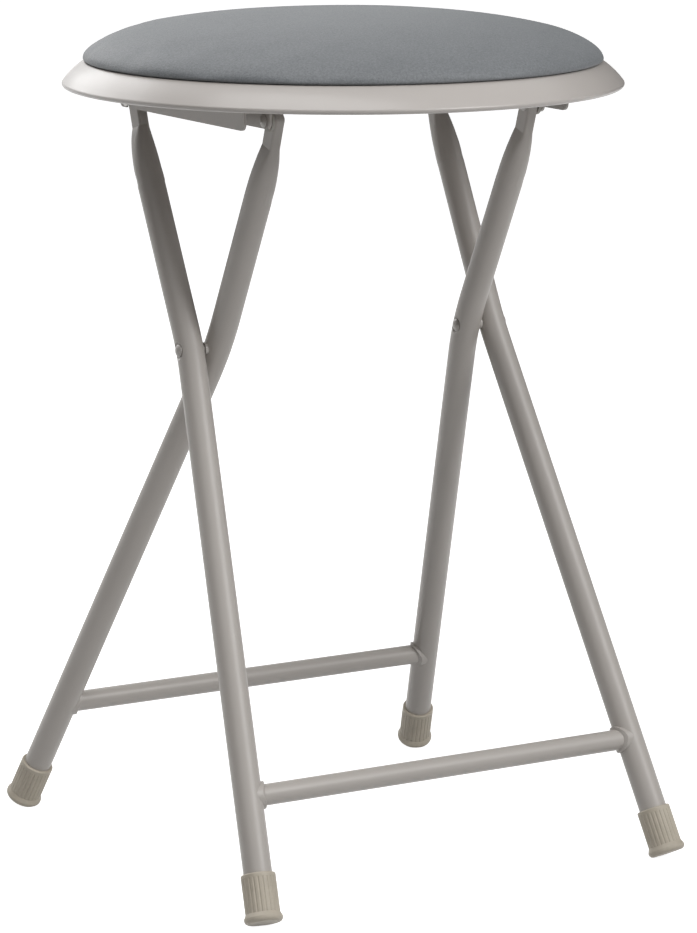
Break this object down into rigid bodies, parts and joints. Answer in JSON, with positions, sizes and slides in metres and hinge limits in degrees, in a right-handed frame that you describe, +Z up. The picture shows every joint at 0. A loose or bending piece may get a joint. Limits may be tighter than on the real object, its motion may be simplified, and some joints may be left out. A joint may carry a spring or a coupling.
{
  "type": "folding bar stool",
  "caption": "Folding stool with a round padded seat in a steel pan, on two scissor frames of bent tube with pressed ends and fluted foot caps.",
  "frame": {"origin": "on the floor, under the middle of the seat", "axes": "+Z up, X along the hinge axes from the sitter's left to right as seen from the front, +Y to the rear"},
  "size_m": [0.402, 0.402, 0.6054],
  "materials": {
    "frame_paint": "satin warm grey paint",
    "pan_paint": "gloss warm grey paint",
    "channel_paint": "satin warm grey paint",
    "rivet_paint": "painted steel rivet",
    "spacer_paint": "painted steel spacer",
    "bare_steel": "zinc plated",
    "washer_nylon": "natural nylon",
    "foot_plastic": "moulded taupe plastic",
    "vinyl": "fine grained grey vinyl",
    "foam": "open cell foam",
    "board": "unfinished board"
  },
  "bodies": {
    "inner_frame": {"left_inner_leg": "frame_paint", "right_inner_leg": "frame_paint", "rear_crossbar": "frame_paint", "rear_crossbar_welds": "frame_paint", "left_rear_foot_cap": "foot_plastic", "right_rear_foot_cap": "foot_plastic", "seat_pivot_rivets": "rivet_paint", "seat_pivot_washers": "washer_nylon", "scissor_rivets": "rivet_paint", "scissor_spacers": "spacer_paint"},
    "outer_frame": {"left_outer_leg": "frame_paint", "right_outer_leg": "frame_paint", "front_crossbar": "frame_paint", "front_crossbar_welds": "frame_paint", "left_front_foot_cap": "foot_plastic", "right_front_foot_cap": "foot_plastic", "rest_pins": "bare_steel", "rest_pin_sleeves": "washer_nylon"},
    "seat": {"seat_cover": "vinyl", "seat_foam": "foam", "seat_board": "board", "seat_pan": "pan_paint", "left_seat_channel": "channel_paint", "right_seat_channel": "channel_paint", "channel_screws": "bare_steel"}
  },
  "joints": [
    {"name": "seat_tilt", "type": "hinge", "parent": "inner_frame", "child": "seat", "pos_m": [0, -0.0852, 0.5419], "axis": [1, 0, 0], "range_deg": [0, 102]},
    {"name": "leg_fold", "type": "hinge", "parent": "inner_frame", "child": "outer_frame", "pos_m": [0, -0.0015, 0.3719], "axis": [1, 0, 0], "range_deg": [0, 43.4]}
  ],
  "couplings": [
    {"joint": "leg_fold", "follows": "seat_tilt", "ratio": 0.425}
  ]
}
